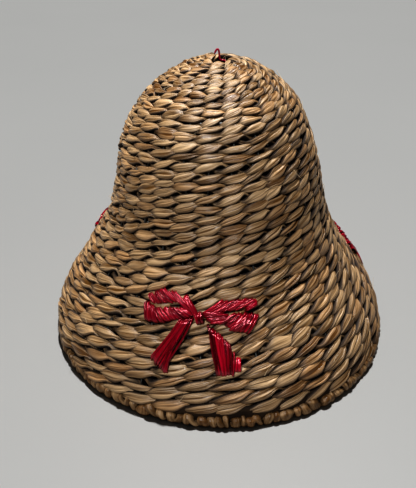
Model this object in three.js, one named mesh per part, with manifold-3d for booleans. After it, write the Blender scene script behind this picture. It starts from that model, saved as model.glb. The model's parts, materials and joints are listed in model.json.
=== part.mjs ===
// Woven bell ornament: rush twined over wire stakes, with a wrapped rim, three raffia bows and a wire hook.
// Millimetres, +Z up. The bell stands on its rim at Z = 0, its axis is Z and its front faces -Y.
// Angles are measured round Z from the front, towards +X.

import * as THREE from "three";
import { mergeVertices } from "three/addons/utils/BufferGeometryUtils.js";
import Module from "manifold-3d";

const TURN = 2 * Math.PI;
const DEGREE = Math.PI / 180;
const TOUCH_GAP = 0.3;
const MERGE_TOLERANCE = 1e-4;

// Outer line of the weave as [radius, height], from the lowest course to the edge of the crown hole.
const BELL_OUTLINE = [
  [147.2, 10.2],
  [143.9, 23.5],
  [135, 42.5],
  [119.5, 63.5],
  [95, 106],
  [84, 148],
  [77.8, 170],
  [62, 204.5],
  [46.5, 220],
  [24, 233],
  [9.2, 236],
];
const OUTLINE_DIVISIONS = 600;
const HEIGHT_SEARCH_STEPS = 40;

// Weave: courses get finer from the rim to the crown, and stakes are added as the bell widens.
const COURSES = 37;
const COURSE_TAPER = 0.224;
const STAKE_ZONES = [
  { firstCourse: 0, stakes: 38 },
  { firstCourse: 6, stakes: 36 },
  { firstCourse: 11, stakes: 32 },
  { firstCourse: 16, stakes: 30 },
  { firstCourse: 21, stakes: 28 },
  { firstCourse: 23, stakes: 24 },
  { firstCourse: 32, stakes: 18 },
  { firstCourse: 34, stakes: 12 },
  { firstCourse: 36, stakes: 8 },
];
const FIRST_STAKE = -5.5 * DEGREE;
const WALL = 9;
const COURSE_GROOVE = 3;
const CELL_PINCH = 2;
const INNER_RINGS = 10;
const INNER_SIDES = 24;

// Wire stakes, seen only where their ends cross from the lowest course to the rim.
const STAKE_DIAMETER = 2.2;
const STAKE_DEPTH = 5;
const STAKE_SIDES = 4;
const STAKE_GRIP = 3.5;

// Rim: a ring wrapped with rush, in one bunch of wraps between each two stakes.
const RIM_FOOT_INNER = 141.5;
const RIM_FOOT_OUTER = 146.5;
const RIM_OUTER = 149.7;
const RIM_INNER = 139.8;
const RIM_BELLY = 4.2;
const RIM_TOP = 8.4;
const RIM_BUNCHES = 38;
const BUNCH_NOTCH = 1.2;

// Bows: raffia bands that lie on the weave, drawn as [across, up, width] from the knot.
const BOWS = {
  front_bow: { angle: -7 * DEGREE, knotHeight: 72 },
  right_bow: { angle: 116.5 * DEGREE, knotHeight: 54.5 },
  left_bow: { angle: -127 * DEGREE, knotHeight: 72 },
};
const BOW_BAND = { lift: 0.7, thick: 1.7 };
const TAIL_BAND = { lift: 0.7, thick: 1.5 };
const KNOT_BAND = { lift: 0.35, thick: 3.4 };
const LOOP_ROUTE = [
  [2, 3.4, 2.4],
  [9, 7.6, 4.4],
  [19, 12.3, 6],
  [30, 13.5, 8],
  [39, 11.5, 9],
  [42, 5, 9],
  [38.5, -2.5, 10],
  [29, -3.4, 10],
  [17, -1.2, 7],
  [8, -0.2, 3.6],
  [2, -0.4, 2.4],
];
const TAIL_ROUTE = [
  [1.2, -4, 2.6],
  [7, -11.5, 6],
  [13, -24, 11],
  [20, -40, 16],
];
const KNOT_ROUTE = [
  [0, -6.5, 8],
  [0, 0, 9.5],
  [0, 6.5, 8],
];
const BAND_CROWN = 0.62;
const LOOP_STEPS = 12;
const TAIL_STEPS = 5;

// Hook: one wire with a foot under the crown, a rise through the hole and a bend at the top.
const HOOK_WIRE = 1.5;
const HOOK_SIDES = 6;
const HOOK_STEPS = 22;
const HOOK_ROUTE = [
  [15, 222.4],
  [10, 223.9],
  [6.3, 225.8],
  [5.6, 229],
  [5.2, 232.4],
  [3.6, 233.9],
  [1.2, 234.2],
  [0.2, 235.2],
  [-0.2, 238],
  [-0.7, 241.2],
  [-1.6, 242.5],
  [-2.6, 241.6],
  [-4.2, 238.6],
];

const RUSH = { color: 0x96734b, roughness: 0.6, metalness: 0 };
const RIM_RUSH = { color: 0x8a5f33, roughness: 0.65, metalness: 0 };
const RAFFIA = { color: 0xaa0a28, roughness: 0.35, metalness: 0 };
const HOOK_LACQUER = { color: 0xa0102e, roughness: 0.4, metalness: 0.3 };

const wasm = await Module();
wasm.setup();

// A smooth curve in the XZ plane through [x, z] points.
function uprightCurve(points) {
  return new THREE.CatmullRomCurve3(points.map(([x, z]) => new THREE.Vector3(x, 0, z)));
}

const outline = uprightCurve(BELL_OUTLINE);
outline.arcLengthDivisions = OUTLINE_DIVISIONS;
const OUTLINE_LENGTH = outline.getLength();

// A point of the wall: share of the outline's length, angle round the axis, depth below the outer line.
function wallPoint(share, angle, depth) {
  const spot = outline.getPointAt(THREE.MathUtils.clamp(share, 0, 1));
  const slope = outline.getTangentAt(THREE.MathUtils.clamp(share, 0, 1));
  const radius = spot.x - depth * slope.z;
  const height = spot.z + depth * slope.x;
  return new THREE.Vector3(radius * Math.sin(angle), -radius * Math.cos(angle), height);
}

// Share of the outline's length at a height on the outer line.
function shareAtHeight(height) {
  let low = 0;
  let high = 1;
  for (let step = 0; step < HEIGHT_SEARCH_STEPS; step += 1) {
    const middle = (low + high) / 2;
    if (outline.getPointAt(middle).z < height) {
      low = middle;
    } else {
      high = middle;
    }
  }
  return low;
}

// Share of the outline's length at the lower edge of a course, or at a point within it.
function courseShare(course) {
  const share = course / COURSES;
  return (1 + COURSE_TAPER) * share - COURSE_TAPER * share * share;
}

function stakesOfCourse(course) {
  return STAKE_ZONES.filter((zone) => zone.firstCourse <= course).pop().stakes;
}

// A skin over rings of points. Rings may differ in count. It closes on itself, or is capped at both ends.
function skin(rings, closes) {
  const positions = rings.flat().flatMap((point) => [point.x, point.y, point.z]);
  const starts = [];
  rings.reduce((start, ring) => {
    starts.push(start);
    return start + ring.length;
  }, 0);
  const corner = (ring, place) => starts[ring] + (place % rings[ring].length);
  const triangles = [];
  const strips = closes ? rings.length : rings.length - 1;
  for (let upper = 0; upper < strips; upper += 1) {
    const lower = (upper + 1) % rings.length;
    const upperCount = rings[upper].length;
    const lowerCount = rings[lower].length;
    let i = 0;
    let j = 0;
    while (i < upperCount || j < lowerCount) {
      if (j === lowerCount || (i < upperCount && (i + 1) / upperCount <= (j + 1) / lowerCount)) {
        triangles.push(corner(upper, i), corner(lower, j), corner(upper, i + 1));
        i += 1;
      } else {
        triangles.push(corner(upper, i), corner(lower, j), corner(lower, j + 1));
        j += 1;
      }
    }
  }
  if (!closes) {
    const last = rings.length - 1;
    for (let place = 1; place < rings[0].length - 1; place += 1) {
      triangles.push(corner(0, 0), corner(0, place), corner(0, place + 1));
    }
    for (let place = 1; place < rings[last].length - 1; place += 1) {
      triangles.push(corner(last, 0), corner(last, place + 1), corner(last, place));
    }
  }
  const geometry = new THREE.BufferGeometry();
  geometry.setAttribute("position", new THREE.Float32BufferAttribute(positions, 3));
  geometry.setIndex(triangles);
  return geometry;
}

function toSolid(geometry) {
  const bare = geometry.clone();
  bare.deleteAttribute("normal");
  bare.deleteAttribute("uv");
  const merged = mergeVertices(bare, MERGE_TOLERANCE);
  return new wasm.Manifold(
    new wasm.Mesh({
      numProp: 3,
      vertProperties: new Float32Array(merged.attributes.position.array),
      triVerts: new Uint32Array(merged.index.array),
    }),
  );
}

function joined(geometries) {
  const solid = geometries.map(toSolid).reduce((whole, next) => whole.add(next));
  const mesh = solid.getMesh();
  const geometry = new THREE.BufferGeometry();
  geometry.setAttribute("position", new THREE.BufferAttribute(mesh.vertProperties, 3));
  geometry.setIndex(new THREE.BufferAttribute(mesh.triVerts, 1));
  return geometry;
}

// The crest of a course swells over each stake and is pinched halfway to the next one.
function crestRing(course) {
  const stakes = stakesOfCourse(course);
  const share = courseShare(course + 0.5);
  return Array.from({ length: 2 * stakes }, (_, place) => {
    const depth = place % 2 === 0 ? 0 : CELL_PINCH;
    return wallPoint(share, FIRST_STAKE + (place / (2 * stakes)) * TURN, depth);
  });
}

function grooveRing(course) {
  const stakes = stakesOfCourse(Math.min(course, COURSES - 1));
  return Array.from({ length: stakes }, (_, place) => {
    return wallPoint(courseShare(course), FIRST_STAKE + (place / stakes) * TURN, COURSE_GROOVE);
  });
}

function innerRing(share) {
  return Array.from({ length: INNER_SIDES }, (_, place) => {
    return wallPoint(share, FIRST_STAKE + (place / INNER_SIDES) * TURN, WALL);
  });
}

// The wall runs down the outside course by course, and back up the plain inside to the crown hole.
function wovenWall() {
  const rings = [grooveRing(COURSES)];
  for (let course = COURSES - 1; course >= 0; course -= 1) {
    rings.push(crestRing(course), grooveRing(course));
  }
  for (let ring = 0; ring <= INNER_RINGS; ring += 1) {
    rings.push(innerRing(ring / INNER_RINGS));
  }
  return skin(rings, true);
}

function stakeEnds() {
  const stakes = STAKE_ZONES[0].stakes;
  const root = wallPoint(0, 0, STAKE_DEPTH);
  const bottom = RIM_TOP + TOUCH_GAP;
  const length = root.z + STAKE_GRIP - bottom;
  return Array.from({ length: stakes }, (_, place) => {
    const angle = FIRST_STAKE + (place / stakes) * TURN;
    const peg = new THREE.CylinderGeometry(STAKE_DIAMETER / 2, STAKE_DIAMETER / 2, length, STAKE_SIDES);
    peg.rotateX(Math.PI / 2);
    peg.translate(-root.y * Math.sin(angle), root.y * Math.cos(angle), bottom + length / 2);
    return peg;
  });
}

// One section of the rim at an angle. A notch draws its sides in between two bunches of wraps.
function rimSection(angle, notch) {
  const corners = [
    [RIM_FOOT_OUTER, 0],
    [RIM_OUTER - notch, RIM_BELLY],
    [(RIM_FOOT_INNER + RIM_FOOT_OUTER) / 2, RIM_TOP - notch],
    [RIM_INNER + notch, RIM_BELLY],
    [RIM_FOOT_INNER, 0],
  ];
  return corners.map(([radius, height]) => {
    return new THREE.Vector3(radius * Math.sin(angle), -radius * Math.cos(angle), height);
  });
}

function wrappedRim() {
  const sections = [];
  for (let bunch = 0; bunch < RIM_BUNCHES; bunch += 1) {
    sections.push(rimSection((bunch / RIM_BUNCHES) * TURN, 0));
    sections.push(rimSection(((bunch + 0.5) / RIM_BUNCHES) * TURN, BUNCH_NOTCH));
  }
  return skin(sections, true);
}

// A flat band laid on the wall along a route of [across, up, width], with a crowned section.
function raffiaBand(route, side, bow, steps, { lift, thick }) {
  const marks = route.map(([across, up]) => new THREE.Vector3(side * across, up, 0));
  const line = new THREE.CatmullRomCurve3(marks);
  const knotShare = shareAtHeight(bow.knotHeight);
  const knotRadius = outline.getPointAt(knotShare).x;
  const place = (across, up, height) => {
    return wallPoint(knotShare + up / OUTLINE_LENGTH, bow.angle + across / knotRadius, -height);
  };
  const rings = Array.from({ length: steps }, (_, step) => {
    const along = step / (steps - 1);
    const spot = line.getPoint(along);
    const way = line.getTangent(along);
    const knot = along * (route.length - 1);
    const before = Math.min(Math.floor(knot), route.length - 2);
    const half = THREE.MathUtils.lerp(route[before][2], route[before + 1][2], knot - before) / 2;
    const across = (reach) => spot.x - way.y * half * reach;
    const up = (reach) => spot.y + way.x * half * reach;
    return [
      place(across(-1), up(-1), lift),
      place(across(-BAND_CROWN), up(-BAND_CROWN), lift + thick),
      place(across(BAND_CROWN), up(BAND_CROWN), lift + thick),
      place(across(1), up(1), lift),
    ];
  });
  return skin(rings, false);
}

function raffiaBow(bow) {
  const sides = [-1, 1];
  const loops = sides.map((side) => raffiaBand(LOOP_ROUTE, side, bow, LOOP_STEPS, BOW_BAND));
  const tails = sides.map((side) => raffiaBand(TAIL_ROUTE, side, bow, TAIL_STEPS, TAIL_BAND));
  const knot = raffiaBand(KNOT_ROUTE, 1, bow, KNOT_ROUTE.length, KNOT_BAND);
  return joined([...loops, ...tails, knot]);
}

function hangingHook() {
  const section = new THREE.Shape(
    Array.from({ length: HOOK_SIDES }, (_, side) => {
      const angle = (side / HOOK_SIDES) * TURN;
      return new THREE.Vector2(Math.cos(angle), Math.sin(angle)).multiplyScalar(HOOK_WIRE / 2);
    }),
  );
  const extrudePath = uprightCurve(HOOK_ROUTE);
  return new THREE.ExtrudeGeometry(section, { steps: HOOK_STEPS, bevelEnabled: false, extrudePath });
}

function piece(name, geometry, finish) {
  const mesh = new THREE.Mesh(geometry, new THREE.MeshStandardMaterial(finish));
  mesh.name = name;
  return mesh;
}

const bell = new THREE.Group();
bell.add(piece("woven_shell", joined([wovenWall(), ...stakeEnds()]), RUSH));
bell.add(piece("wrapped_rim", wrappedRim(), RIM_RUSH));
for (const [name, bow] of Object.entries(BOWS)) {
  bell.add(piece(name, raffiaBow(bow), RAFFIA));
}
bell.add(piece("hanging_hook", hangingHook(), HOOK_LACQUER));

export default bell;
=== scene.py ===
"""Woven bell ornament: twined rush over wire stakes, a wrapped rim, three raffia bows and a wire hook."""

import json
import math

import bmesh
import bpy
import numpy as np
from bpy.props import FloatProperty, FloatVectorProperty, IntProperty, PointerProperty
from mathutils import Matrix, Vector

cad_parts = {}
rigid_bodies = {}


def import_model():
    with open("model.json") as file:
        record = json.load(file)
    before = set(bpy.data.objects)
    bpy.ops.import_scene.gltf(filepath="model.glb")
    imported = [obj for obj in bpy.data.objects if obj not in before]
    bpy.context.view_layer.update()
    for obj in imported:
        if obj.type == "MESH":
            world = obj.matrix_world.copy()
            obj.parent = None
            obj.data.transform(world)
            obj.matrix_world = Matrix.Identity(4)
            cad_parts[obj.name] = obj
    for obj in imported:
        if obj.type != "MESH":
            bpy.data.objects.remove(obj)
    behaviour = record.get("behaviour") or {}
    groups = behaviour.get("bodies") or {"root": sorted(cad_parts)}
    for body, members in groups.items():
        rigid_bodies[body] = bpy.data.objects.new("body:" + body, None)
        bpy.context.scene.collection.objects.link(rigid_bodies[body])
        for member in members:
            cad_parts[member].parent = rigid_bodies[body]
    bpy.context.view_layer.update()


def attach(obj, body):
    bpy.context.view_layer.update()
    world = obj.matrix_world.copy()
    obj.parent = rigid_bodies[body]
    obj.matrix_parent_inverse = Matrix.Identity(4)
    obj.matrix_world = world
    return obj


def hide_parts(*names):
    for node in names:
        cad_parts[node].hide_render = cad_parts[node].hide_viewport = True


bl_info = {
    "name": "Woven Bell Ornament",
    "version": (1, 0, 0),
    "blender": (4, 5, 0),
    "location": "View3D > Sidebar > Woven Bell",
    "description": "Models a bell twined from rush, with raffia bows and a wire hook",
    "category": "Object",
}

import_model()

MM = 0.001
TURN = 2 * math.pi

# Outer line of the weave as (radius, height) in millimetres, from the lowest course to the crown hole.
BELL_OUTLINE = (
    (147.2, 10.2),
    (143.9, 23.5),
    (135, 42.5),
    (119.5, 63.5),
    (95, 106),
    (84, 148),
    (77.8, 170),
    (62, 204.5),
    (46.5, 220),
    (24, 233),
    (9.2, 236),
)
OUTLINE_STEPS = 60

# Courses get finer towards the crown, and stakes are added as the bell widens: (first course, stakes).
COURSES = 37
COURSE_TAPER = 0.224
STAKE_ZONES = ((0, 38), (6, 36), (11, 32), (16, 30), (21, 28), (23, 24), (32, 18), (34, 12), (36, 8))
FIRST_STAKE = math.radians(-5.5)
STAKE_FOOT = 7.6 * MM

# Bands of courses that are one piece each: (piece, first course, course after its last).
WEAVE_PIECES = (
    ("woven_skirt", 0, 7),
    ("woven_flare", 7, 15),
    ("woven_waist", 15, 24),
    ("woven_crown", 24, 37),
)

# Where the hand-made wall bulges, in degrees and millimetres:
# (angle, reach round, height, reach up and down, bulge).
BULGES = ((-90, 60, 180, 24, 3.4), (-90, 60, 80, 22, 2.4), (38, 42, 0, 34, 2.8))

# The courses stray up and down in waves: (waves round the bell, step per course, start, share of drift).
DRIFT_WAVES = ((3, 0.35, 0.0, 1.0), (7, -0.5, 1.0, 0.7))

# Courses that sag towards the rim at the sides, and how suddenly the sag sets in round the bell.
SAGGING_COURSES = 4
SAG_POWER = 8

# How much wider the strips get towards the crown hole, from which course, and over how many.
CROWN_FULLNESS = 0.35
CROWN_START = 24
CROWN_COURSES = 10

# How the strips differ from cell to cell: (mean, deviation, lowest, highest).
WIDTH_SPREAD = (1.0, 0.2, 0.62, 1.5)
EDGE_SPREAD = (1.0, 0.16, 0.7, 1.4)
UPPER_PEAK_SPREAD = (0.15, 0.3, -0.5, 0.7)
LOWER_PEAK_SPREAD = (-0.15, 0.3, -0.7, 0.5)
TWIST_SPREAD = (0.0, 0.16, -0.35, 0.35)
PUFF_SPREAD = (1.0, 0.14, 0.7, 1.35)
SHIFT_SPREAD = (0.0, 0.045, -0.12, 0.12)
CLIMB_SPREAD = (1.0, 0.45, 0.1, 1.9)
SLIDE_SPREAD = (0.0, 0.1, -0.2, 0.2)
TONE_SPREAD = (0.5, 0.12, 0.15, 0.9)
STRIP_TONE_SPREAD = 0.12

# Each seed of the weave has its own stretch of seeds for the strips.
SEED_STRETCH = 1000

# Cells keep their own tone, hue and creases almost to the tip, and their own grain right up to it.
# The grain of each cell is cut from another place of the noise, within a reach.
CELL_SHARPNESS = 4
GRAIN_SHARPNESS = 8
GRAIN_REACH = 50

# A strip is widest where it faces out. Its edges fill out fast from the tip, up to a limit.
FACING_POWER = 1.25
FILL_POWER = 0.4
FILL_GAIN = 1.2
FILL_LIMIT = 1.1

# Section of a strip: fuller towards the tip than on the face.
TIP_SWELL = 0.15
LENS_AT_TIP = 0.65
LENS_ON_FACE = 0.8

# Painted shade of a strip, darkening its colour where its outside lies deep, where it is tucked in, and at
# its edges, which are given as (side, angle where the shade starts, angle over which it grows).
DEPTH_SHADE = (0.5, 0.9)
BACK_ANGLE = 1.6
TUCKED_SHADE = 0.7
EDGE_SHADES = ((-1, 0.5, 0.75), (1, 0.95, 0.45))

# Faces of a strip lie closer together on its outside, where it has creases along it.
FACE_DENSITY = 0.6
FOLDS = 3
FOLD_WIDTH = 0.34
FOLD_DEPTH = 0.55
FOLD_LEAN = 0.35
FOLD_EASE = 0.4
DEEPEST_FOLD = 0.9

# Mesh density of the strips.
STRIP_SIDES = 18
STEPS_PER_STAKE = 10

# A raw ring is modelled at this radius and then pressed into shape.
RAW_RADIUS = 10.0

# Steps and sides of the raw rings and straws.
RIM_LOOP = (22, 10)
STAKE_STRAW = (12, 6)
STRAND_STRAW = (12, 8)
HOOK_STRAW = (60, 12)
FIBRE_STRAW = (6, 4)
CORE_STEPS_PER_BUNCH = 4
CORE_SIDES = 12

# Rim: wraps of a bunch (least, one over the most), their shares of its room, and half a wrap's width.
WRAPS_PER_BUNCH = (3, 5)
WRAP_SHARES = (0.6, 1.4)
WRAP_HALF = 0.56

# Spread of the wraps: thickness by the rim's height, breadth by the rim's, squareness, lean, top and tone.
WRAP_THICKNESS = (0.2, 0.3)
WRAP_BREADTH = (0.85, 1.08)
WRAP_SQUARENESS = (2.5, 3.6)
WRAP_LEAN = (-0.15, 0.3)
WRAP_TOP = (-0.02, 0.1)
LOWEST_TOP = -0.16
WRAP_TONE = (0.5, 0.2)

# Shape of a wrap: waves of its outline and of its width, roundness of its section, painted shade of its
# edges.
WRAP_WAVES = (0.07, 0.05)
WRAP_WIDTH_WAVE = 0.18
WRAP_ROUNDNESS = 0.7
WRAP_EDGE = (0.75, 3)
WRAP_EDGE_SHADE = 0.8
WRAP_FIBRES = 1.2

# The wraps stand off the floor in one wave round the bell (mean, wave, start), and their tops rise less.
LIFT_WAVE = (0.6, 0.4, 0.6)
TOP_LIFT = 0.7

# The rim is tucked in under the weave more at the left than at the right: (side, share, power).
TUCKS = ((-1, 1.0, 1.3), (1, 0.7, 3))

# Core of the rim: its height, how far in it lies (middle, with height, sides), its fibres and its cell. The
# cell's high shade value paints the core dark, as painted shade in the gap between the wraps and the lowest
# course.
CORE_RISE = 0.85
CORE_INWARD = (0.25, 0.15, 0.3)
CORE_FIBRES = 20
CORE_CELL = (0.2, 0.9, 0.0)

# Tone, shade and hue of plain wire, and its finishes: metallic, roughest and smoothest.
WIRE_CELL = (0.5, 0.0, 0.0)
STAKE_FINISH = (1.0, 0.6, 0.45)
HOOK_FINISH = (0.0, 0.4, 0.25)

# Spread of the raffia strands, the fine lines across them, and the painted shade of their edges and ends.
STRAND_STRAY = 0.15
STRAND_ROLL = 0.45
STRAND_WIDTH = (0.75, 1.25)
STRAND_THICKNESS = (0.8, 1.2)
STRAND_BEND = 0.02
STRAND_LIFT = (-0.3 * MM, 0.7 * MM)
STRAND_ARCH = (0.6, 1.4)
STRAND_TONE = (0.5, 0.25)
STRAND_LINES = 1.5
STRAND_EDGE = 0.25
STRAND_END_SHADE = 0.5

# Loose fibres: share of the wall's length where they start, and spread of their sizes and directions.
FIBRE_SEED = 7
FIBRE_START = (0.03, 0.97)
FIBRE_LENGTH = (5 * MM, 13 * MM)
FIBRE_HALF = (0.2 * MM, 0.42 * MM)
FIBRE_TAPER = 0.7
FIBRE_TURN = (0.3, 0.5)
FIBRE_CURL = 0.15
FIBRE_RISE = (0.1, 0.45)
FIBRE_ROOT = 0.4 * MM
FIBRE_TONE = (0.75, 0.15)
FIBRE_GRAIN = 10 * MM

# Bows: angle round the bell in degrees, and height of the knot.
BOWS = (
    ("front_bow", -7.0, 72 * MM),
    ("right_bow", 116.5, 54.5 * MM),
    ("left_bow", -127.0, 72 * MM),
)

# Rows of stitches of one bow, in millimetres across and up from the knot. The strands of a row run from its
# first line to its second line: (first line, second line, strands, lift over the weave).
STITCH_ROWS = (
    (((-43.4, 12.7), (-30.2, 20.2)), ((-38.0, 7.6), (-18.7, 12.8)), 9, 1.0),
    (((-26.7, 19.2), (-20.8, 19.6)), ((-9.8, 8.2), (-4.2, 6.6)), 4, 1.3),
    (((-12.8, 16.8), (-9.0, 17.3)), ((-1.6, 2.4), (0.8, 2.2)), 3, 2.4),
    (((-43.4, 6.2), (-35.8, 4.8)), ((-39.8, -6.8), (-29.6, -5.6)), 6, 1.2),
    (((-35.6, 4.2), (-14.2, 8.2)), ((-28.4, -5.2), (-4.2, 4.4)), 11, 1.1),
    (((-12.6, 0.4), (-4.4, 2.6)), ((-30.0, -32.6), (-20.4, -40.6)), 9, 1.2),
    (((-12.6, -5.6), (-17.2, -25.6)), ((-20.0, -41.0), (-17.0, -40.6)), 4, 1.0),
    (((6.4, -2.0), (23.3, -16.4)), ((14.4, -39.4), (22.2, -39.2)), 9, 1.1),
    (((24.6, -22.1), (25.4, -22.1)), ((23.2, -39.4), (23.9, -39.4)), 1, 1.1),
    (((26.6, -27.7), (28.4, -27.8)), ((25.8, -36.9), (27.4, -36.7)), 2, 1.0),
    (((4.4, 6.4), (27.9, 9.0)), ((17.0, 15.2), (44.0, 15.6)), 11, 1.2),
    (((36.1, 11.3), (36.7, 7.5)), ((44.9, 14.6), (45.4, 11.0)), 3, 1.1),
    (((2.4, 6.2), (9.3, -1.1)), ((17.1, 7.1), (26.2, 2.2)), 7, 1.2),
    (((15.4, -0.4), (23.1, -4.0)), ((26.7, 5.2), (32.3, 4.9)), 6, 1.4),
    (((21.6, -5.6), (36.8, -8.5)), ((34.5, 5.0), (45.2, 3.2)), 9, 1.3),
    (((-2.4, 5.9), (3.4, 5.4)), ((-1.6, -1.2), (3.8, -0.9)), 4, 2.8),
)

# Hook: route of the wire as (across, height) in millimetres, from its foot under the crown to its free end.
HOOK_ROUTE = (
    (15, 222.4),
    (10, 223.9),
    (6.3, 225.8),
    (5.6, 229),
    (5.2, 232.4),
    (3.6, 233.9),
    (1.2, 234.2),
    (0.2, 235.2),
    (-0.2, 238),
    (-0.7, 241.2),
    (-1.6, 242.5),
    (-2.6, 241.6),
    (-4.2, 238.6),
)

# The free end of the hook is rounded down to this share of the wire.
HOOK_END = 0.25

# Tints of the finishes, with the colours of the painted shade on rush and raffia, the coloured sheen of the
# raffia, and the roughness of every noise.
GOLDEN_TINT = (1.0, 0.76, 0.5, 1)
RUSH_SHADE = (0.05, 0.03, 0.02, 1)
RAFFIA_SHADE = (0.2, 0.1, 0.1, 1)
RAFFIA_SHEEN = (1.0, 0.33, 0.38, 1)
WIRE_WEAR = (0.35, 0.33, 0.33, 1)
FLOOR_DRIFT = (0.5, 0.5, 0.5, 1)
NOISE_ROUGHNESS = 0.55

# Lamps: (name, kind, place, size or angle, power, colour, what it lights). All of them face one point.
LAMPS = (
    ("back_light", "AREA", (0.15, 0.8, 2.2), 0.1, 22, (1.0, 1.0, 0.98), "lit_bell"),
    ("top_light", "AREA", (-0.15, 0.1, 1.0), 0.2, 4.2, (0.98, 0.99, 1.0), "lit_bell"),
    ("front_light", "AREA", (-0.45, -1.4, 1.95), 0.35, 28.5, (0.97, 0.99, 1.0), "lit_bell"),
    ("floor_light", "SUN", (0.1, 0.78, 2.2), 0.05, 1.73, (1.0, 1.0, 0.99), "lit_floor"),
)
LAMP_TARGET = Vector((0, 0, 0.1))

# Surroundings: light that falls on the bell, brightness of the backdrop, and the tint of both.
ROOM_LIGHT = 0.03
BACKDROP_LIGHT = 0.42
ROOM_TINT = (0.97, 0.98, 1.0, 1)

# Half the side of the floor.
FLOOR_REACH = 25.0

# Camera that fits the photograph: a picture 416 by 488 pixels with a focal length of 650 pixels.
PICTURE_HEIGHT = 488
FOCAL_PIXELS = 650
SENSOR = 36.0
NEAR_CLIP = 0.01


class WeaveSettings(bpy.types.PropertyGroup):
    """Sizes and colours of the twined rush"""

    reach: FloatProperty(
        name="Reach", description="How far a strip stands out over a stake, as a share of the course height",
        default=0.29, subtype="FACTOR",
    )
    thickness: FloatProperty(
        name="Strip thickness", description="Half the thickness of a strip, as a share of the course height",
        default=0.26, subtype="FACTOR",
    )
    width: FloatProperty(
        name="Strip width", description="Half the width of a strip, as a share of the course height",
        default=0.47, subtype="FACTOR",
    )
    tip: FloatProperty(
        name="Tip width", default=0.21, subtype="FACTOR",
        description="Half the width of a strip where it turns in, as a share of the course height",
    )
    selvedge: FloatProperty(
        name="Lowest course", default=0.95, subtype="FACTOR",
        description="Width of the strips of the lowest course, as a share of the others",
    )
    overlap: FloatProperty(
        name="Overlap", description="How far the end of a strip lies over the start of the next one",
        default=0.04, subtype="ANGLE",
    )
    climb: FloatProperty(
        name="Climb", default=0.32, subtype="FACTOR",
        description="How far a strip climbs from its middle to its tip, as a share of the course height",
    )
    roll: FloatProperty(
        name="Roll", description="How far the face of a strip rolls up towards its tip",
        default=0.5, subtype="ANGLE",
    )
    flatness: FloatProperty(
        name="Flatness", description="How long a strip lies flat over a stake before it turns in",
        default=0.05, subtype="FACTOR",
    )
    hold: FloatProperty(
        name="Hold", description="How much longer a strip stays outside than inside",
        default=0.5, subtype="ANGLE",
    )
    unevenness: FloatProperty(
        name="Unevenness", description="How much the strips differ from each other",
        default=1.0, subtype="FACTOR",
    )
    drift: FloatProperty(
        name="Drift", description="How far the courses stray up and down", default=0.6 * MM, unit="LENGTH",
    )
    sag: FloatProperty(
        name="Sag", description="How far the lowest course comes down at the sides",
        default=3.6 * MM, unit="LENGTH",
    )
    fibres: IntProperty(
        name="Loose fibres", description="Loose fibres that stand out of the weave", default=110,
    )
    gloss: FloatProperty(name="Gloss", description="Gloss of the rush", default=0.65, subtype="FACTOR")
    seed: IntProperty(name="Seed", description="Seed of the uneven weave", default=11)
    dark: FloatVectorProperty(
        name="Dark rush", description="Colour of the darkest strips", size=3, subtype="COLOR",
        default=(0.13, 0.06, 0.013),
    )
    light: FloatVectorProperty(
        name="Light rush", description="Colour of the palest strips", size=3, subtype="COLOR",
        default=(0.597, 0.403, 0.223),
    )


class RimSettings(bpy.types.PropertyGroup):
    """Sizes and colours of the wrapped rim"""

    radius: FloatProperty(
        name="Ring radius", description="Radius of the middle of the rim", default=146.0 * MM, unit="LENGTH",
    )
    height: FloatProperty(
        name="Rim height", description="Height of the wrapped rim", default=9.2 * MM, unit="LENGTH",
    )
    breadth: FloatProperty(
        name="Rim breadth", description="Breadth of the wrapped rim", default=9.8 * MM, unit="LENGTH",
    )
    gap: FloatProperty(
        name="Bunch gap", description="Gap between neighbouring bunches of wraps",
        default=1.6 * MM, unit="LENGTH",
    )
    tuck: FloatProperty(
        name="Tuck", description="How far the rim is tucked under the weave at the sides",
        default=4.0 * MM, unit="LENGTH",
    )
    lift: FloatProperty(
        name="Lift", description="How far the wraps stand off the floor", default=0.3 * MM, unit="LENGTH",
    )
    bunches: IntProperty(name="Bunches", description="Bunches of wraps round the rim", default=38)
    gloss: FloatProperty(name="Gloss", description="Gloss of the wraps", default=0.3, subtype="FACTOR")
    seed: IntProperty(name="Seed", description="Seed of the uneven wraps", default=5)
    dark: FloatVectorProperty(
        name="Dark wraps", description="Colour of the darkest wraps", size=3, subtype="COLOR",
        default=(0.11, 0.056, 0.02),
    )
    light: FloatVectorProperty(
        name="Light wraps", description="Colour of the palest wraps", size=3, subtype="COLOR",
        default=(0.31, 0.196, 0.1),
    )


class BowSettings(bpy.types.PropertyGroup):
    """Sizes and colours of the raffia bows"""

    strand: FloatProperty(
        name="Strand width", description="Width of one raffia strand", default=1.8 * MM, unit="LENGTH",
    )
    dive: FloatProperty(
        name="Dive", description="How far the ends of a strand go into the weave",
        default=2.2 * MM, unit="LENGTH",
    )
    jitter: FloatProperty(
        name="Jitter", description="How far the ends of a strand stray", default=0.45 * MM, unit="LENGTH",
    )
    thickness: FloatProperty(
        name="Strand thickness", description="Thickness of one raffia strand",
        default=1.3 * MM, unit="LENGTH",
    )
    arch: FloatProperty(
        name="Arch", description="How far the middle of a strand bulges out", default=0.9 * MM, unit="LENGTH",
    )
    fullness: FloatProperty(
        name="Fullness", default=1.7, subtype="FACTOR",
        description="How many strands a row of stitches has, as a share of its planned number",
    )
    seed: IntProperty(name="Seed", description="Seed of the uneven strands", default=23)
    dark: FloatVectorProperty(
        name="Deep raffia", description="Colour of the deepest strands", size=3, subtype="COLOR",
        default=(0.06, 0.0, 0.003),
    )
    light: FloatVectorProperty(
        name="Bright raffia", description="Colour of the brightest strands", size=3, subtype="COLOR",
        default=(0.48, 0.005, 0.03),
    )


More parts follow.
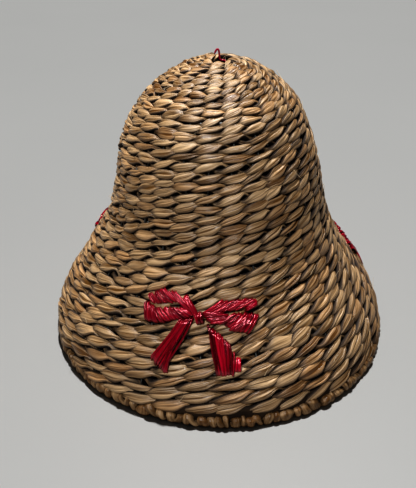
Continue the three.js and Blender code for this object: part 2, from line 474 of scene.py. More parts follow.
class WireSettings(bpy.types.PropertyGroup):
    """Sizes and colours of the hook and the stakes"""

    hook: FloatProperty(
        name="Hook wire", description="Diameter of the hook wire", default=1.5 * MM, unit="LENGTH",
    )
    stake: FloatProperty(
        name="Stake wire", description="Diameter of the stake wire", default=1.6 * MM, unit="LENGTH",
    )
    red: FloatVectorProperty(
        name="Hook red", description="Colour of the lacquered hook", size=3, subtype="COLOR",
        default=(0.36, 0.008, 0.04),
    )
    steel: FloatVectorProperty(
        name="Stake steel", description="Colour of the stakes", size=3, subtype="COLOR",
        default=(0.22, 0.22, 0.21),
    )


class StageSettings(bpy.types.PropertyGroup):
    """Camera, floor and lights"""

    back: FloatProperty(
        name="Camera back", description="Camera's distance before the axis", default=0.497, unit="LENGTH",
    )
    rise: FloatProperty(
        name="Camera rise", description="Camera's height over the floor", default=0.368, unit="LENGTH",
    )
    pitch: FloatProperty(
        name="Pitch", description="How far the camera looks down",
        default=math.radians(30.88), subtype="ANGLE",
    )
    turn: FloatProperty(
        name="Turn", description="How far the camera is turned to the left",
        default=math.radians(1.02), subtype="ANGLE",
    )
    floor: FloatVectorProperty(
        name="Floor", description="Colour of the floor", size=3, subtype="COLOR",
        default=(0.7, 0.7, 0.69),
    )


class BellSettings(bpy.types.PropertyGroup):
    """All settings of the woven bell"""

    weave: PointerProperty(type=WeaveSettings)
    rim: PointerProperty(type=RimSettings)
    bow: PointerProperty(type=BowSettings)
    wire: PointerProperty(type=WireSettings)
    stage: PointerProperty(type=StageSettings)


def smooth_line(knots, steps):
    """Points of a smooth curve through the knots, spaced by the square root of their distances."""
    knots = [np.array(knot, float) for knot in knots]
    knots = [2 * knots[0] - knots[1]] + knots + [2 * knots[-1] - knots[-2]]
    shares = np.linspace(0, 1, steps, endpoint=False)[:, None]
    stretches = []
    for before, first, last, after in zip(knots, knots[1:], knots[2:], knots[3:]):
        gaps = [math.sqrt(np.linalg.norm(b - a)) for a, b in ((before, first), (first, last), (last, after))]
        leave = (first - before) / gaps[0] - (last - before) / (gaps[0] + gaps[1]) + (last - first) / gaps[1]
        arrive = (last - first) / gaps[1] - (after - first) / (gaps[1] + gaps[2]) + (after - last) / gaps[2]
        leave, arrive = leave * gaps[1], arrive * gaps[1]
        square = 3 * (last - first) - 2 * leave - arrive
        cube = 2 * (first - last) + leave + arrive
        stretches.append(first + shares * (leave + shares * (square + shares * cube)))
    return np.vstack(stretches + [knots[-2]])


def round_points(radius, angle, height):
    """Points round the bell's axis, at angles from its front."""
    return np.stack([radius * np.sin(angle), -radius * np.cos(angle), height], axis=-1)


class Wall:
    """The bell's outer line, walked by its length from the lowest course to the crown hole."""

    def __init__(self, outline):
        line = smooth_line(outline, OUTLINE_STEPS) * MM
        steps = np.diff(line, axis=0)
        self.lengths = np.concatenate([[0], np.cumsum(np.hypot(*steps.T))])
        self.length = self.lengths[-1]
        self.line = line
        self.slopes = np.gradient(line, self.lengths, axis=0)

    def section(self, along, outward):
        """Radius and height of points that stand out from the outer line, which runs on past its ends."""
        held = np.clip(along, 0, self.length)
        radius, height = (np.interp(held, self.lengths, self.line[:, axis]) for axis in (0, 1))
        across, up = (np.interp(held, self.lengths, self.slopes[:, axis]) for axis in (0, 1))
        beyond = along - held
        return radius + beyond * across + outward * up, height + beyond * up - outward * across

    def points(self, along, angle, outward):
        """Points that stand out from the hand-made wall."""
        radius, height = self.section(along, outward)
        return round_points(radius + self.bulge(angle, height), angle, height)

    def bulge(self, angle, height):
        """How far the hand-made wall stands out from its round line."""
        total = 0.0
        for degrees, round_reach, middle, reach, amount in BULGES:
            aside = (np.degrees(angle) - degrees + 180) % 360 - 180
            over = height / MM - middle
            total = total + amount * MM * np.exp(-(aside / round_reach) ** 2 - (over / reach) ** 2)
        return total

    def along_at(self, height):
        """Length along the outer line at a height."""
        return np.interp(height, self.line[:, 1], self.lengths)


WALL = Wall(BELL_OUTLINE)


def course_along(course):
    """Length along the wall to the lower edge of a course, or to a point within it."""
    share = course / COURSES
    return WALL.length * ((1 + COURSE_TAPER) * share - COURSE_TAPER * share * share)


def depth_at(along, weave):
    """Depth of the middle of the wall, where the stakes run, under its outer line."""
    courses = np.arange(COURSES + 1)
    starts = course_along(courses)
    pitches = np.gradient(starts)
    return np.interp(along, starts, pitches) * (weave.reach + weave.thickness)


def stakes_of(course):
    """Stakes that a course is twined over."""
    return [stakes for first, stakes in STAKE_ZONES if first <= course][-1]


def raw_ring(steps, sides):
    """A ring of round section, spun once round the axis."""
    bm = bmesh.new()
    stand = Matrix.Translation((RAW_RADIUS, 0, 0)) @ Matrix.Rotation(math.pi / 2, 4, "X")
    bmesh.ops.create_circle(bm, segments=sides, radius=1, matrix=stand)
    bmesh.ops.spin(
        bm, geom=bm.edges[:], cent=(0, 0, 0), axis=(0, 0, 1), angle=TURN, steps=steps, use_merge=True
    )
    bmesh.ops.recalc_face_normals(bm, faces=bm.faces[:])
    return raw_mesh(bm, f"raw_ring_{steps}_{sides}")


def raw_straw(steps, sides):
    """A straw of round section with closed ends, one unit long, standing on the origin."""
    bm = bmesh.new()
    bmesh.ops.create_circle(bm, cap_ends=True, segments=sides, radius=1)
    top = bm.faces[:]
    for _ in range(steps):
        lifted = bmesh.ops.extrude_face_region(bm, geom=top)["geom"]
        inner = [face for face in top if face.is_valid and face.calc_center_median().z > 0.5 / steps]
        bmesh.ops.delete(bm, geom=inner, context="FACES_ONLY")
        top = [item for item in lifted if isinstance(item, bmesh.types.BMFace)]
        corners = [item for item in lifted if isinstance(item, bmesh.types.BMVert)]
        bmesh.ops.translate(bm, verts=corners, vec=(0, 0, 1 / steps))
    bmesh.ops.recalc_face_normals(bm, faces=bm.faces[:])
    return raw_mesh(bm, f"raw_straw_{steps}_{sides}")


def raw_mesh(bm, name):
    """The mesh of a finished bmesh, which is freed."""
    mesh = bpy.data.meshes.new(name)
    bm.to_mesh(mesh)
    bm.free()
    return mesh


def corner_places(mesh):
    """Places of a mesh's corners, one row each."""
    places = np.zeros(len(mesh.vertices) * 3)
    mesh.vertices.foreach_get("co", places)
    return places.reshape(-1, 3)


def ring_angles(ring):
    """Angles of a raw ring's corners round its axis and round its section."""
    places = corner_places(ring)
    around = np.arctan2(places[:, 1], places[:, 0])
    return around, np.arctan2(places[:, 2], np.hypot(places[:, 0], places[:, 1]) - RAW_RADIUS)


def straw_places(straw):
    """Shares of a raw straw's length at its corners, and their angles round its section."""
    places = corner_places(straw)
    return places[:, 2], np.arctan2(places[:, 1], places[:, 0])


class Assembly:
    """One piece put together from raw meshes that are pressed into shape, with values for its finish."""

    def __init__(self, name):
        self.name = name
        self.bm = bmesh.new()

    def press(self, raw, places, fibre, cell):
        """Adds a copy of the raw mesh with its corners at these places.

        The fibre values run along, across and from strip to strip. The cell values are tone, painted shade
        and hue.
        """
        mesh = raw.copy()
        mesh.vertices.foreach_set("co", np.asarray(places, float).ravel())
        for label, values in (("fibre", fibre), ("cell", cell)):
            layer = mesh.attributes.new(label, "FLOAT_VECTOR", "POINT")
            columns = [np.broadcast_to(value, len(places)) for value in values]
            layer.data.foreach_set("vector", np.stack(columns, axis=-1).astype(float).ravel())
        self.bm.from_mesh(mesh)
        bpy.data.meshes.remove(mesh)

    def finish(self, material, slot, node):
        """Makes the object, gives it its material and sets it on the frame."""
        mesh = raw_mesh(self.bm, self.name)
        mesh.materials.append(material)
        mesh.polygons.foreach_set("use_smooth", [True] * len(mesh.polygons))
        piece = bpy.data.objects.new(self.name, mesh)
        bpy.context.scene.collection.objects.link(piece)
        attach(piece, "root")
        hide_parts(node)


class Wire:
    """An output of a material's node. Sums and products of wires add Math nodes."""

    def __init__(self, finish, socket):
        self.finish = finish
        self.socket = socket

    def math(self, operation, first, second):
        return self.finish.node("ShaderNodeMath", {"operation": operation}, {0: first, 1: second})

    def __add__(self, other):
        return self.math("ADD", self, other)

    def __radd__(self, other):
        return self.math("ADD", other, self)

    def __sub__(self, other):
        return self.math("SUBTRACT", self, other)

    def __rsub__(self, other):
        return self.math("SUBTRACT", other, self)

    def __mul__(self, other):
        return self.math("MULTIPLY", self, other)

    def __rmul__(self, other):
        return self.math("MULTIPLY", other, self)


class Finish:
    """A material whose nodes are added by one method."""

    def __init__(self, name):
        self.material = bpy.data.materials.new(name)
        self.material.use_nodes = True
        self.tree = self.material.node_tree
        self.tree.nodes.clear()

    def node(self, kind, settings, inputs, output=0):
        """Adds a node, sets it up, then sets or links its sockets, and returns one of its outputs."""
        node = self.tree.nodes.new(kind)
        for name, value in settings.items():
            setattr(node, name, value)
        for name, value in inputs.items():
            if isinstance(value, Wire):
                self.tree.links.new(value.socket, node.inputs[name])
            else:
                node.inputs[name].default_value = value
        return Wire(self, node.outputs[output]) if node.outputs else None

    def attribute(self, name):
        """Values that the piece carries at its corners."""
        return self.node("ShaderNodeAttribute", {"attribute_name": name}, {}, "Vector")

    def parts(self, vector):
        """The three numbers of a vector."""
        first = self.node("ShaderNodeSeparateXYZ", {}, {0: vector})
        outputs = first.socket.node.outputs
        return [Wire(self, outputs[place]) for place in range(3)]

    def stretched_noise(self, vector, stretch, detail):
        """Noise drawn out by a scale along each part of a vector."""
        drawn = self.node("ShaderNodeVectorMath", {"operation": "MULTIPLY"}, {0: vector, 1: stretch})
        inputs = {"Vector": drawn, "Scale": 1.0, "Detail": detail, "Roughness": NOISE_ROUGHNESS}
        return self.node("ShaderNodeTexNoise", {}, inputs)

    def span(self, value, low, high, start=0.0, end=1.0):
        """A value's stretch between low and high, moved to the stretch from start to end."""
        return self.node(
            "ShaderNodeMapRange", {"clamp": True},
            {"Value": value, "From Min": low, "From Max": high, "To Min": start, "To Max": end},
        )

    def blend(self, factor, first, second, mode="MIX"):
        """A blend of two colours."""
        return self.node(
            "ShaderNodeMix", {"data_type": "RGBA", "blend_type": mode}, {0: factor, 6: first, 7: second}, 2
        )

    def surface(self, linked, constants, height, bump_strength, bump_distance):
        """The shader with its linked sockets, its constants and a bump from a height."""
        bump = {"Height": height, "Strength": bump_strength, "Distance": bump_distance}
        normal = self.node("ShaderNodeBump", {}, bump)
        shader = self.node("ShaderNodeBsdfPrincipled", {}, {**linked, **constants, "Normal": normal})
        self.node("ShaderNodeOutputMaterial", {}, {"Surface": shader})
        return self.material


def rush_finish(name, dark, light, gloss):
    """Dried rush: long fibres, pale and brown streaks, and painted shade, darkest where a strip turns in."""
    finish = Finish(name)
    fibre = finish.attribute("fibre")
    tone, shade, hue = finish.parts(finish.attribute("cell"))
    streaks = finish.stretched_noise(fibre, (0.4, 0.55, 1.0), 3.0)
    fibres = finish.span(finish.stretched_noise(fibre, (0.3, 1.0, 1.0), 1.0), 0.37, 0.63)
    blotches = finish.stretched_noise(fibre, (1.6, 0.35, 1.0), 2.0)
    paleness = tone + (streaks - 0.5) * 2.2 + (blotches - 0.5) * 0.8 + (fibres - 0.5) * 0.75
    colour = finish.blend(finish.span(paleness, -0.1, 1.15), (*dark, 1), (*light, 1))
    golden = finish.blend(finish.span(hue, 0.5, 1.0, 0.0, 0.45), colour, GOLDEN_TINT, "MULTIPLY")
    # Painted shade: the colour is drawn towards the shade colour by the cell's shade value.
    deep = finish.blend(finish.span(shade, 0.0, 1.0), golden, RUSH_SHADE, "MULTIPLY")
    roughness = finish.span(streaks + fibres * 0.3, 0.3, 1.0, 0.28, 0.55) + shade * 0.4
    linked = {"Base Color": deep, "Roughness": roughness}
    constants = {"IOR": 1.55, "Specular IOR Level": gloss}
    return finish.surface(linked, constants, streaks * 0.7 + fibres * 0.35, 0.8, 0.9 * MM)


def raffia_finish(name, dark, light):
    """Dyed raffia: glossy flat strands with fine lines along them."""
    finish = Finish(name)
    fibre = finish.attribute("fibre")
    tone, shade, _ = finish.parts(finish.attribute("cell"))
    lines = finish.stretched_noise(fibre, (0.12, 3.2, 1.0), 3.0)
    drift = finish.stretched_noise(fibre, (0.25, 0.4, 1.0), 2.0)
    depth = tone + (lines - 0.5) * 0.7 + (drift - 0.5) * 0.6
    colour = finish.blend(finish.span(depth, 0.0, 1.0), (*dark, 1), (*light, 1))
    # Painted shade: the strands darken at their edges and at the ends that go into the weave.
    deep = finish.blend(finish.span(shade, 0.0, 1.0, 0.0, 0.65), colour, RAFFIA_SHADE, "MULTIPLY")
    linked = {"Base Color": deep, "Roughness": finish.span(lines, 0.3, 0.7, 0.05, 0.2)}
    constants = {"IOR": 1.75, "Specular IOR Level": 1.0, "Specular Tint": RAFFIA_SHEEN}
    return finish.surface(linked, constants, lines, 0.45, 0.4 * MM)


def wire_finish(name, colour, metallic, rough, smooth):
    """Drawn wire with a worn, slightly uneven skin."""
    finish = Finish(name)
    wear = finish.stretched_noise(finish.attribute("fibre"), (0.6, 0.6, 1.0), 4.0)
    worn = finish.blend(finish.span(wear, 0.35, 0.75, 0.0, 0.5), (*colour, 1), WIRE_WEAR, "MULTIPLY")
    linked = {"Base Color": worn, "Roughness": finish.span(wear, 0.3, 0.7, smooth, rough)}
    return finish.surface(linked, {"Metallic": metallic}, wear, 0.15, 0.2 * MM)


def floor_finish(name, colour):
    """A plain pale floor with a faint drift of tone."""
    finish = Finish(name)
    place = finish.node("ShaderNodeTexCoord", {}, {}, "Object")
    drift = finish.stretched_noise(place, (3.0, 3.0, 3.0), 2.0)
    tint = finish.blend(finish.span(drift, 0.3, 0.7, 0.0, 0.06), (*colour, 1), FLOOR_DRIFT)
    return finish.surface({"Base Color": tint}, {"Roughness": 0.5}, drift, 0.02, MM)


def between(values, place, sharpness=1.0):
    """Values given at whole places, carried smoothly to places between them, round the ring."""
    low = np.floor(place).astype(int)
    share = np.clip((place - low - 0.5) * sharpness + 0.5, 0, 1)
    share = share * share * (3 - 2 * share)
    return values[low % len(values)] * (1 - share) + values[(low + 1) % len(values)] * share


def press_strip(assembly, raw, course, strand, weave):
    """One of the two strips of a course. It winds round the other, and is outside over every second stake."""
    chance = np.random.default_rng(weave.seed * SEED_STRETCH + course * 2 + strand)
    stakes = stakes_of(course)
    cells = stakes // 2
    low, high = course_along(course), course_along(course + 1)
    pitch = high - low

    def varied(mean, deviation, lowest, highest):
        return np.clip(mean + weave.unevenness * deviation * chance.standard_normal(cells), lowest, highest)

    fullness = 1 + CROWN_FULLNESS * np.clip((course - CROWN_START) / CROWN_COURSES, 0, 1)
    width = varied(*WIDTH_SPREAD) * fullness * (weave.selvedge if course == 0 else 1)
    upper, lower = varied(*EDGE_SPREAD), varied(*EDGE_SPREAD)
    upper_peak, lower_peak = varied(*UPPER_PEAK_SPREAD), varied(*LOWER_PEAK_SPREAD)
    twist = varied(*TWIST_SPREAD)
    puff = varied(*PUFF_SPREAD)
    shift = varied(*SHIFT_SPREAD)
    climb = varied(*CLIMB_SPREAD)
    slide = varied(*SLIDE_SPREAD)
    tone = varied(*TONE_SPREAD) + STRIP_TONE_SPREAD * chance.standard_normal()
    hue = chance.uniform(0, 1, cells)
    fold_place = chance.uniform(-1.0, 1.0, (FOLDS, cells))
    fold_depth = chance.uniform(0.0, FOLD_DEPTH, (FOLDS, cells)) * weave.unevenness
    grain = chance.uniform(0, GRAIN_REACH, cells)

    around, section = ring_angles(raw)
    section = section - FACE_DENSITY * np.sin(section)

    # The ring starts where a strip turns in, so that no seam of its values shows on a face.
    place = (around % TURN) / TURN * stakes + 0.5
    angle = FIRST_STAKE + place / stakes * TURN
    turn = (place - strand) / 2
    phase = place - strand + between(slide, turn)
    wound = math.pi * phase - weave.flatness * np.sin(TURN * phase) - weave.hold * np.sin(math.pi * phase)
    roll = weave.roll * np.sin(wound) + between(twist, turn)
    facing = np.abs(np.cos(wound)) ** FACING_POWER
    reach = pitch * weave.reach

    fold = np.zeros_like(section)
    for where, how_deep in zip(fold_place, fold_depth):
        crease = between(where, turn, CELL_SHARPNESS) + FOLD_LEAN * np.sin(wound)
        dent = np.clip(1 - np.abs(section - crease) / FOLD_WIDTH, 0, 1)
        fold += between(how_deep, turn, CELL_SHARPNESS) * dent * (1 - FOLD_EASE * facing)
    above = between(upper, turn) * np.abs(np.cos(wound - between(upper_peak, turn)))
    below = between(lower, turn) * np.abs(np.cos(wound - between(lower_peak, turn)))
    filled = np.clip(FILL_GAIN * np.where(section > 0, above, below), 0, FILL_LIMIT) * facing ** FILL_POWER
    half_width = pitch * (weave.tip + (weave.width * between(width, turn) - weave.tip) * filled)
    half_thick = pitch * weave.thickness * between(puff, turn) * (1 + TIP_SWELL * (1 - facing))
    lens_power = LENS_AT_TIP + (LENS_ON_FACE - LENS_AT_TIP) * facing
    lens = np.sign(np.cos(section)) * np.abs(np.cos(section)) ** lens_power
    out = half_thick * lens * (1 - np.clip(fold, 0, DEEPEST_FOLD))
    side = half_width * np.sin(section)

    waves = [part * np.sin(count * angle + step * course + start) for count, step, start, part in DRIFT_WAVES]
    sag = weave.sag * (1 - np.cos(angle) ** SAG_POWER) * max(0, 1 - course / SAGGING_COURSES)
    depth = reach * np.cos(wound - weave.overlap) + out * np.cos(roll) - side * np.sin(roll)
    rise = pitch * (weave.climb * between(climb, turn) * np.sin(wound) + between(shift, turn))
    rise = rise + out * np.sin(roll) + side * np.cos(roll) + weave.drift * sum(waves) - sag
    places = WALL.points((low + high) / 2 + rise, angle, depth - pitch * (weave.reach + weave.thickness))

    # Painted shade: darker where the strip's outside lies deep, where it is tucked under, and along its
    # edges.
    start, growth = DEPTH_SHADE
    deep = np.clip(start - growth * depth / reach, 0, 1) * np.clip(BACK_ANGLE - np.abs(section), 0, 1)
    tucked = TUCKED_SHADE * np.clip(-2 * np.sin(wound) - 1, 0, 1)
    edges = [np.clip((way * section - low_angle) / fade, 0, 1) for way, low_angle, fade in EDGE_SHADES]
    shade = np.maximum.reduce([deep, tucked, *edges])
    fibre = (2 * (turn - np.round(turn)), section * pitch / MM / 2, between(grain, turn, GRAIN_SHARPNESS))
    cell = (between(tone, turn, CELL_SHARPNESS), shade, between(hue, turn, CELL_SHARPNESS))
    assembly.press(raw, places, fibre, cell)


class BELL_OT_weave(bpy.types.Operator):
    """Twines the rush courses of the bell over its stakes"""

    bl_idname = "bell.weave"
    bl_label = "Weave"

    def execute(self, context):
        weave = context.scene.woven_bell.weave
        rush = rush_finish("rush", weave.dark, weave.light, weave.gloss)
        rings = {stakes: raw_ring(stakes * STEPS_PER_STAKE, STRIP_SIDES) for _, stakes in STAKE_ZONES}
        for name, first, end in WEAVE_PIECES:
            assembly = Assembly(name)
            for course in range(first, end):
                for strand in (0, 1):
                    press_strip(assembly, rings[stakes_of(course)], course, strand, weave)
            assembly.finish(rush, "rush", "woven_shell")
        for ring in rings.values():
            bpy.data.meshes.remove(ring)
        return {"FINISHED"}


class BELL_OT_rim(bpy.types.Operator):
    """Wraps the ring at the foot with bunches of rush"""

    bl_idname = "bell.rim"
    bl_label = "Rim"

    def execute(self, context):
        rim = context.scene.woven_bell.rim
        chance = np.random.default_rng(rim.seed)
        assembly = Assembly("rim_wraps")
        loop = raw_ring(*RIM_LOOP)
        room = TURN / rim.bunches - rim.gap / rim.radius
        for bunch in range(rim.bunches):
            shares = chance.uniform(*WRAP_SHARES, chance.integers(*WRAPS_PER_BUNCH))
            ends = np.concatenate([[0], np.cumsum(shares)]) / shares.sum() * room
            start = FIRST_STAKE + bunch / rim.bunches * TURN + rim.gap / 2 / rim.radius
            for low, high in zip(ends, ends[1:]):
                half_width = (high - low) * rim.radius * WRAP_HALF
                self.wrap(assembly, loop, start + (low + high) / 2, half_width, rim, chance)
        self.core(assembly, rim)
        bpy.data.meshes.remove(loop)
        rush = rush_finish("rim_rush", rim.dark, rim.light, rim.gloss)
        assembly.finish(rush, "rim_rush", "wrapped_rim")
        return {"FINISHED"}

    def radius(self, rim, angle):
        """Radius of the middle of the hand-made rim, which isn't quite round."""
        tucks = [share * np.clip(way * np.sin(angle), 0, 1) ** power for way, share, power in TUCKS]
        return rim.radius + WALL.bulge(angle, 0.0) - rim.tuck * sum(tucks)

    def wrap(self, assembly, loop, middle, half_width, rim, chance):
        """One loop of rush round the ring, leaning a little and puffed up."""
        around, section = ring_angles(loop)
        half_thick = rim.height * chance.uniform(*WRAP_THICKNESS)
        reach = rim.breadth * chance.uniform(*WRAP_BREADTH) / 2 - half_thick
        mean, wave, start = LIFT_WAVE
        lift = rim.lift * (mean + wave * math.cos(middle + start))
        top = lift * TOP_LIFT + rim.height * (1 + max(LOWEST_TOP, chance.normal(*WRAP_TOP)))
        rise = (top - lift) / 2 - half_thick
        power = chance.uniform(*WRAP_SQUARENESS)
        square = (np.abs(np.cos(around)) ** power + np.abs(np.sin(around)) ** power) ** (-1 / power)
        first, second, third = chance.uniform(0, TURN, 3)
        oval, corner = WRAP_WAVES
        square = square * (1 + oval * np.sin(2 * around + first) + corner * np.sin(3 * around + second))
        half_width = half_width * (1 + WRAP_WIDTH_WAVE * np.sin(2 * around + third))
        out = half_thick * np.sign(np.cos(section)) * np.abs(np.cos(section)) ** WRAP_ROUNDNESS
        radius = self.radius(rim, middle) + (reach + out) * np.cos(around) * square
        height = np.maximum((top + lift) / 2 + (rise + out) * np.sin(around) * square, 0)
        lean = chance.normal(*WRAP_LEAN) * (height - rim.height / 2)
        angle = middle + (half_width * np.sin(section) + lean) / rim.radius
        fibre = (around * WRAP_FIBRES, section * half_width / MM / 2, chance.uniform(0, GRAIN_REACH))
        edge_start, edge_growth = WRAP_EDGE
        # Painted shade on the edges of each wrap, where it meets its neighbours.
        shade = np.clip((np.abs(np.sin(section)) - edge_start) * edge_growth, 0, 1) * WRAP_EDGE_SHADE
        cell = (np.clip(chance.normal(*WRAP_TONE), 0, 1), shade, chance.uniform(0, 1))
        assembly.press(loop, round_points(radius, angle, height), fibre, cell)

    def core(self, assembly, rim):
        """The band of rush under the wraps, which goes up behind the lowest course, painted dark as the shade
        in that gap.
        """
        ring = raw_ring(rim.bunches * CORE_STEPS_PER_BUNCH, CORE_SIDES)
        angle, section = ring_angles(ring)
        height = rim.height * CORE_RISE * (1 + np.sin(section))
        middle, rising, sides = CORE_INWARD
        inward = rim.breadth * (middle + rising * np.sin(section) - sides * np.cos(section))
        places = round_points(self.radius(rim, angle) - inward, angle, height)
        # Painted shade: the core's cell makes this band of rush dark.
        assembly.press(ring, places, (angle * CORE_FIBRES, section, 0.0), CORE_CELL)
        bpy.data.meshes.remove(ring)


class BELL_OT_stakes(bpy.types.Operator):
    """Runs the wire stakes up inside the weave"""

    bl_idname = "bell.stakes"
    bl_label = "Stakes"

    def execute(self, context):
        settings = context.scene.woven_bell
        half = settings.wire.stake / 2
        assembly = Assembly("wire_stakes")
        straw = raw_straw(*STAKE_STRAW)
        share, section = straw_places(straw)
        ends = [first for first, _ in STAKE_ZONES[1:]] + [COURSES]
        for (first, stakes), end in zip(STAKE_ZONES, ends):
            low = course_along(first - 1) if first else -STAKE_FOOT
            along = low + (course_along(end) - low) * share
            outward = half * np.cos(section) - depth_at(along, settings.weave)
            radius, _ = WALL.section(along, outward)
            for stake in range(stakes):
                angle = FIRST_STAKE + stake / stakes * TURN + half * np.sin(section) / radius
                places = WALL.points(along, angle, outward)
                assembly.press(straw, places, (along / MM, section, stake), WIRE_CELL)
        bpy.data.meshes.remove(straw)
        steel = wire_finish("stake_wire", settings.wire.steel, *STAKE_FINISH)
        assembly.finish(steel, "stake_wire", "woven_shell")
        return {"FINISHED"}


class BELL_OT_bows(bpy.types.Operator):
    """Stitches the raffia bows on the flare"""

    bl_idname = "bell.bows"
    bl_label = "Bows"

    def execute(self, context):
        bow = context.scene.woven_bell.bow
        raffia = raffia_finish("raffia", bow.dark, bow.light)
        straw = raw_straw(*STRAND_STRAW)
        for place, (name, degrees, height) in enumerate(BOWS):
            knot = (math.radians(degrees), WALL.along_at(height))
            chance = np.random.default_rng(bow.seed + place)
            assembly = Assembly(f"{name}_strands")
            for first, second, planned, lift in STITCH_ROWS:
                strands = max(1, round(planned * bow.fullness)) if planned > 1 else 1
                for strand in range(strands):
                    share = np.clip((strand + 0.5 + chance.normal(0, STRAND_STRAY)) / strands, 0, 1)
                    start, end = (np.array(a) + (np.array(b) - a) * share for a, b in (first, second))
                    start, end = (point + chance.normal(0, bow.jitter / MM, 2) for point in (start, end))
                    self.strand(assembly, straw, knot, start * MM, end * MM, lift * MM, bow, chance)
            assembly.finish(raffia, "raffia", name)
        bpy.data.meshes.remove(straw)
        return {"FINISHED"}

    def strand(self, assembly, straw, knot, start, end, lift, bow, chance):
        """One flat strand that comes out of the weave, lies over it and goes in again."""
        share, section = straw_places(straw)
        heading = (end - start) / np.linalg.norm(end - start)
        start, end = start - heading * bow.dive / 2, end + heading * bow.dive / 2
        length = np.linalg.norm(end - start)
        roll = chance.normal(0, STRAND_ROLL)
        flat = bow.strand / 2 * chance.uniform(*STRAND_WIDTH) * np.cos(section)
        thick = bow.thickness / 2 * chance.uniform(*STRAND_THICKNESS) * np.sin(section)
        in_plane = flat * math.cos(roll) - thick * math.sin(roll)
        standing = flat * math.sin(roll) + thick * math.cos(roll)
        aside = in_plane + chance.normal(0, STRAND_BEND) * length * np.sin(math.pi * share)
        across = start[0] + (end - start)[0] * share - heading[1] * aside
        rise = start[1] + (end - start)[1] * share + heading[0] * aside
        out = np.clip(np.minimum(share, 1 - share) * length / bow.dive, 0, 1)
        out = np.sqrt(1 - (1 - out) ** 2)
        lift = lift + chance.uniform(*STRAND_LIFT)
        arch = bow.arch * chance.uniform(*STRAND_ARCH) * np.sin(math.pi * share)
        outward = standing + (lift + arch) * out - bow.dive * (1 - out)
        knot_angle, knot_along = knot
        knot_radius, _ = WALL.section(knot_along, 0.0)
        places = WALL.points(knot_along + rise, knot_angle + across / knot_radius, outward)
        fibre = (share * length / MM, section * STRAND_LINES, chance.uniform(0, GRAIN_REACH))
        # Painted shade on the ends that go into the weave and on the edges and underside of the strand.
        shade = np.maximum((1 - out) * STRAND_END_SHADE, np.clip(STRAND_EDGE - np.sin(section), 0, 1))
        tone = np.clip(chance.normal(*STRAND_TONE), 0, 1)
        assembly.press(straw, places, fibre, (tone, shade, 0.0))


class BELL_OT_hook(bpy.types.Operator):
    """Bends the wire hook through the crown"""

    bl_idname = "bell.hook"
    bl_label = "Hook"

    def execute(self, context):
        wire = context.scene.woven_bell.wire
        route = smooth_line([(across, 0, height) for across, height in HOOK_ROUTE], OUTLINE_STEPS) * MM
        lengths = np.concatenate([[0], np.cumsum(np.linalg.norm(np.diff(route, axis=0), axis=1))])
        headings = np.gradient(route, lengths, axis=0)
        straw = raw_straw(*HOOK_STRAW)
        share, section = straw_places(straw)
        along = share * lengths[-1]
        centre, heading = (
            np.stack([np.interp(along, lengths, column) for column in table.T], -1)
            for table in (route, headings)
        )
        end = np.clip((lengths[-1] - along) / wire.hook, HOOK_END, 1) ** 0.5
        normal = np.stack([-heading[:, 2], np.zeros_like(along), heading[:, 0]], -1)
        ring = np.cos(section)[:, None] * normal + np.sin(section)[:, None] * np.array([0, 1, 0])
        assembly = Assembly("red_hook")
        places = centre + ring * (wire.hook / 2 * end)[:, None]
        assembly.press(straw, places, (along / MM, section, 0.0), WIRE_CELL)
        bpy.data.meshes.remove(straw)
        lacquer = wire_finish("hook_wire", wire.red, *HOOK_FINISH)
        assembly.finish(lacquer, "hook_wire", "hanging_hook")
        return {"FINISHED"}


class BELL_OT_fibres(bpy.types.Operator):
    """Pulls a few loose fibres out of the weave"""

    bl_idname = "bell.fibres"
    bl_label = "Loose fibres"

    def execute(self, context):
        weave = context.scene.woven_bell.weave
        chance = np.random.default_rng(weave.seed + FIBRE_SEED)
        assembly = Assembly("loose_fibres")
        straw = raw_straw(*FIBRE_STRAW)
        share, section = straw_places(straw)
        for _ in range(weave.fibres):
            angle = chance.uniform(0, TURN)
            along = chance.uniform(*FIBRE_START) * WALL.length
            run = share * chance.uniform(*FIBRE_LENGTH)
            turn = chance.normal(*FIBRE_TURN)
            half = chance.uniform(*FIBRE_HALF) * (1 - FIBRE_TAPER * share)
            radius, _ = WALL.section(along, 0.0)
            curl = chance.normal(0, FIBRE_CURL) * share * run
            across = run * math.cos(turn) + half * np.cos(section) + curl
            outward = chance.uniform(*FIBRE_RISE) * run * share + half * np.sin(section) - FIBRE_ROOT
            places = WALL.points(along + run * math.sin(turn), angle + across / radius, outward)
            tone = np.clip(chance.normal(*FIBRE_TONE), 0, 1)
            fibre = (run / FIBRE_GRAIN, section, chance.uniform(0, GRAIN_REACH))
            assembly.press(straw, places, fibre, (tone, 0.0, 0.0))
        bpy.data.meshes.remove(straw)
        assembly.finish(bpy.data.materials["rush"], "rush", "woven_shell")
        return {"FINISHED"}


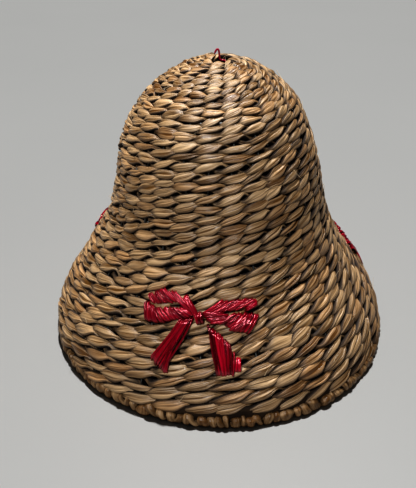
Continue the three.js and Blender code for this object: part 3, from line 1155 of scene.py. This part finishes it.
class BELL_OT_stage(bpy.types.Operator):
    """Sets the floor, the soft lights and the camera"""

    bl_idname = "bell.stage"
    bl_label = "Stage"

    def execute(self, context):
        stage = context.scene.woven_bell.stage
        floor = self.floor(context, stage)
        context.scene.view_settings.view_transform = "Standard"
        context.scene.view_settings.look = "High Contrast"
        self.lights(context, floor)
        self.surroundings(context)
        self.camera(context, stage)
        return {"FINISHED"}

    def floor(self, context, stage):
        """A wide plain floor."""
        bm = bmesh.new()
        bmesh.ops.create_grid(bm, x_segments=1, y_segments=1, size=FLOOR_REACH)
        mesh = raw_mesh(bm, "floor")
        mesh.materials.append(floor_finish("floor", stage.floor))
        floor = bpy.data.objects.new("floor", mesh)
        context.scene.collection.objects.link(floor)
        return floor

    def lights(self, context, floor):
        """Lamps for the bell alone, and one for the floor, which leaves a dark shadow at the bell's foot."""
        lit = {name: bpy.data.collections.new(name) for name in ("lit_bell", "lit_floor")}
        lit["lit_floor"].objects.link(floor)
        for piece in context.scene.objects:
            if piece.type == "MESH" and piece != floor:
                lit["lit_bell"].objects.link(piece)
        for *lamp, receivers in LAMPS:
            self.lamp(context, *lamp, lit[receivers])

    def lamp(self, context, name, kind, place, size, power, colour, receivers):
        """One lamp that faces the bell and lights only its receivers."""
        light = bpy.data.lights.new(name, kind)
        light.energy = power
        light.color = colour
        if kind == "SUN":
            light.angle = size
        else:
            light.shape = "DISK"
            light.size = size
        lamp = bpy.data.objects.new(name, light)
        lamp.location = place
        lamp.rotation_euler = (LAMP_TARGET - Vector(place)).to_track_quat("-Z", "Y").to_euler()
        lamp.light_linking.receiver_collection = receivers
        context.scene.collection.objects.link(lamp)

    def surroundings(self, context):
        """Dim light all round, behind a backdrop as pale as the floor."""
        world = bpy.data.worlds.new("studio")
        world.use_nodes = True
        tree = world.node_tree
        seen = tree.nodes.new("ShaderNodeLightPath")
        strength = tree.nodes.new("ShaderNodeMapRange")
        strength.inputs["To Min"].default_value = ROOM_LIGHT
        strength.inputs["To Max"].default_value = BACKDROP_LIGHT
        background = tree.nodes["Background"]
        background.inputs["Color"].default_value = ROOM_TINT
        tree.links.new(seen.outputs["Is Camera Ray"], strength.inputs["Value"])
        tree.links.new(strength.outputs["Result"], background.inputs["Strength"])
        context.scene.world = world

    def camera(self, context, stage):
        """The camera at the photograph's viewing angle."""
        data = bpy.data.cameras.new("camera")
        data.sensor_width = SENSOR
        data.lens = SENSOR * FOCAL_PIXELS / PICTURE_HEIGHT
        data.clip_start = NEAR_CLIP
        camera = bpy.data.objects.new("camera", data)
        camera.location = (0, -stage.back, stage.rise)
        camera.rotation_euler = (math.pi / 2 - stage.pitch, 0, stage.turn)
        context.scene.collection.objects.link(camera)
        context.scene.camera = camera


class BELL_PT_panel(bpy.types.Panel):
    """Settings and steps of the woven bell"""

    bl_idname = "BELL_PT_panel"
    bl_label = "Woven Bell"
    bl_space_type = "VIEW_3D"
    bl_region_type = "UI"
    bl_category = "Woven Bell"

    def draw(self, context):
        for step in STEPS:
            self.layout.operator(step.bl_idname)
        settings = context.scene.woven_bell
        for group in (settings.weave, settings.rim, settings.bow, settings.wire, settings.stage):
            box = self.layout.box()
            for name in group.bl_rna.properties.keys():
                if name not in {"rna_type", "name"}:
                    box.prop(group, name)


STEPS = (
    BELL_OT_weave, BELL_OT_rim, BELL_OT_stakes, BELL_OT_bows, BELL_OT_hook, BELL_OT_fibres, BELL_OT_stage
)
GROUPS = (WeaveSettings, RimSettings, BowSettings, WireSettings, StageSettings, BellSettings)


def register():
    for kind in (*GROUPS, *STEPS, BELL_PT_panel):
        bpy.utils.register_class(kind)
    bpy.types.Scene.woven_bell = PointerProperty(type=BellSettings)


def unregister():
    del bpy.types.Scene.woven_bell
    for kind in reversed((*GROUPS, *STEPS, BELL_PT_panel)):
        bpy.utils.unregister_class(kind)


def main():
    register()
    for step in STEPS:
        family, name = step.bl_idname.split(".")
        getattr(getattr(bpy.ops, family), name)()


if __name__ == "__main__":
    main()
